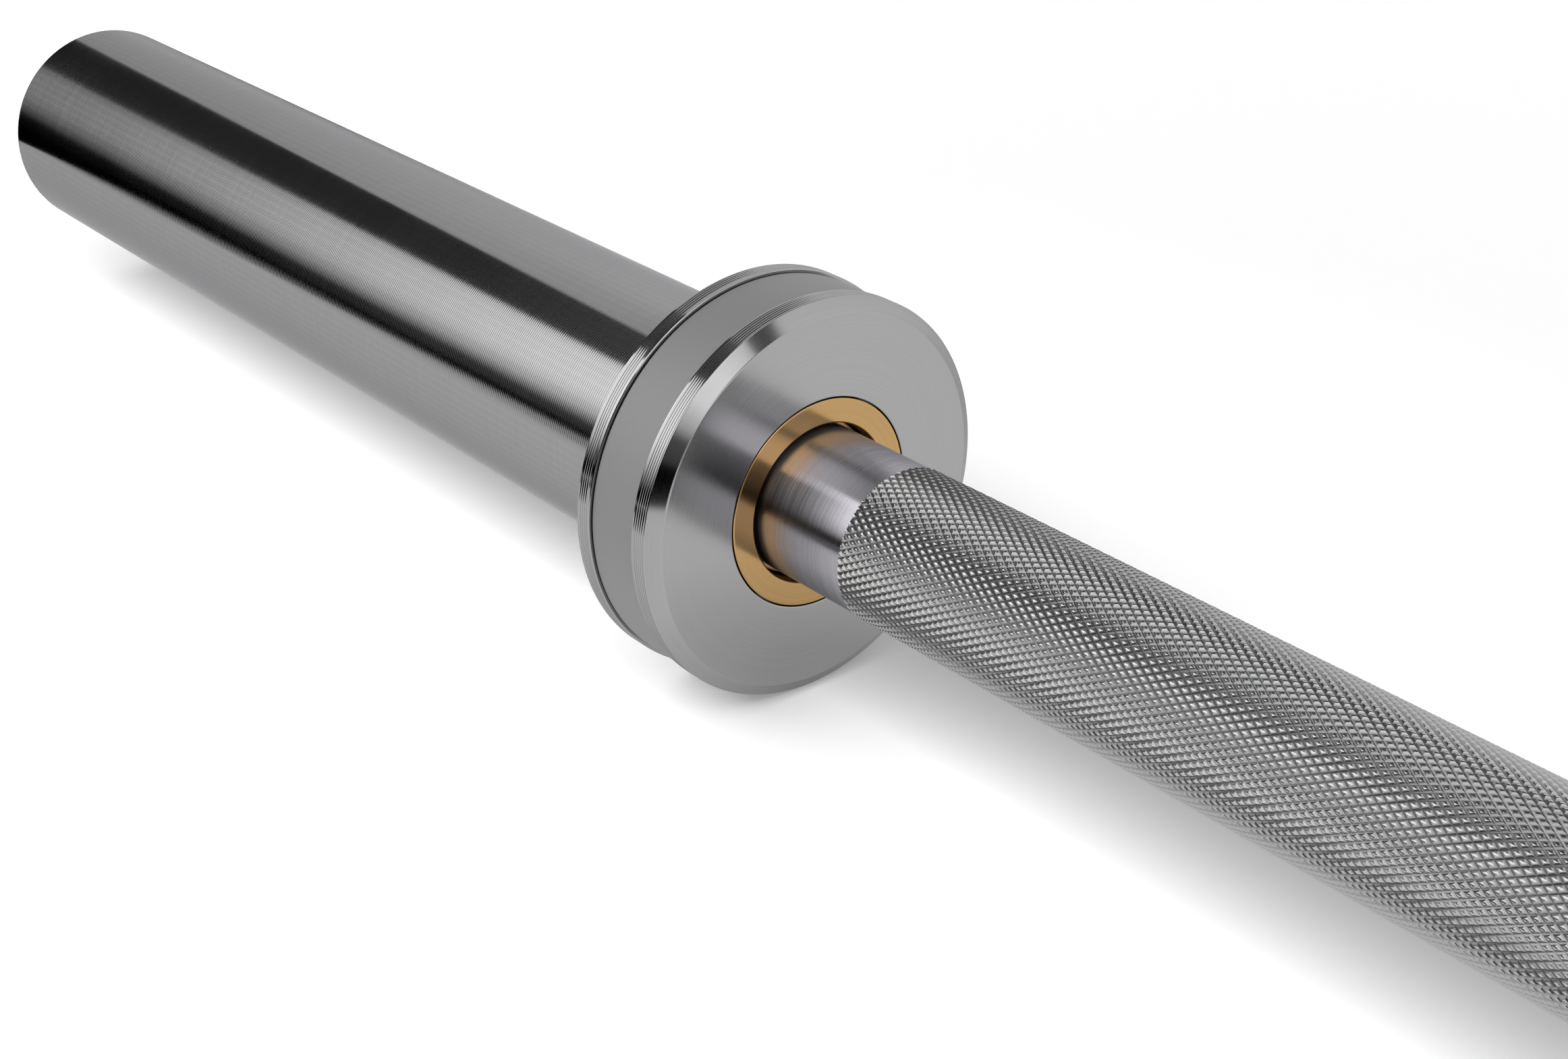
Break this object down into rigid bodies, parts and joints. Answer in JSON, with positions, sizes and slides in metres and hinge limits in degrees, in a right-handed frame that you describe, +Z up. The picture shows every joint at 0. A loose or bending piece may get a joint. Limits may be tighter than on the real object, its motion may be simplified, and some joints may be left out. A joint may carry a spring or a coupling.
{
  "type": "olympic barbell",
  "caption": "Long steel barbell with a diamond-knurled grip and a freely turning plate sleeve with a stepped collar and bronze bush at each end.",
  "frame": {"origin": "centre of the bar, on its axis midway between the two collars", "axes": "+X along the bar towards the right sleeve, +Z up, -X is the pictured end"},
  "size_m": [1.83, 0.0756, 0.0756],
  "materials": {
    "shaft_steel": "ground and polished, knurled grip",
    "sleeve_steel": "fine turned, bright",
    "collar_steel": "turned and brushed, grooved rims",
    "band_steel": "matte blasted grey",
    "cap_steel": "turned, bright",
    "spring_steel": "phosphated dark grey",
    "bronze": "turned bearing bronze"
  },
  "bodies": {
    "shaft": {"shaft": "shaft_steel", "left_shaft_circlip": "spring_steel", "right_shaft_circlip": "spring_steel"},
    "left_sleeve": {"left_sleeve_tube": "sleeve_steel", "left_collar_back_ring": "collar_steel", "left_collar_band": "band_steel", "left_collar_nose": "collar_steel", "left_inner_bush": "bronze", "left_outer_bush": "bronze", "left_end_cap": "cap_steel", "left_cap_circlip": "spring_steel"},
    "left_inner_washer": {"left_inner_washer": "bronze"},
    "left_outer_washer": {"left_outer_washer": "bronze"},
    "right_sleeve": {"right_sleeve_tube": "sleeve_steel", "right_collar_back_ring": "collar_steel", "right_collar_band": "band_steel", "right_collar_nose": "collar_steel", "right_inner_bush": "bronze", "right_outer_bush": "bronze", "right_end_cap": "cap_steel", "right_cap_circlip": "spring_steel"},
    "right_inner_washer": {"right_inner_washer": "bronze"},
    "right_outer_washer": {"right_outer_washer": "bronze"}
  },
  "joints": [
    {"name": "left_sleeve_spin", "type": "hinge", "parent": "shaft", "child": "left_sleeve", "pos_m": [-0.6525, 0, 0], "axis": [1, 0, 0], "continuous": true},
    {"name": "left_inner_washer_spin", "type": "hinge", "parent": "shaft", "child": "left_inner_washer", "pos_m": [-0.6368, 0, 0], "axis": [1, 0, 0], "continuous": true},
    {"name": "left_outer_washer_spin", "type": "hinge", "parent": "shaft", "child": "left_outer_washer", "pos_m": [-0.8958, 0, 0], "axis": [1, 0, 0], "continuous": true},
    {"name": "right_sleeve_spin", "type": "hinge", "parent": "shaft", "child": "right_sleeve", "pos_m": [0.6525, 0, 0], "axis": [1, 0, 0], "continuous": true},
    {"name": "right_inner_washer_spin", "type": "hinge", "parent": "shaft", "child": "right_inner_washer", "pos_m": [0.6368, 0, 0], "axis": [1, 0, 0], "continuous": true},
    {"name": "right_outer_washer_spin", "type": "hinge", "parent": "shaft", "child": "right_outer_washer", "pos_m": [0.8958, 0, 0], "axis": [1, 0, 0], "continuous": true}
  ]
}
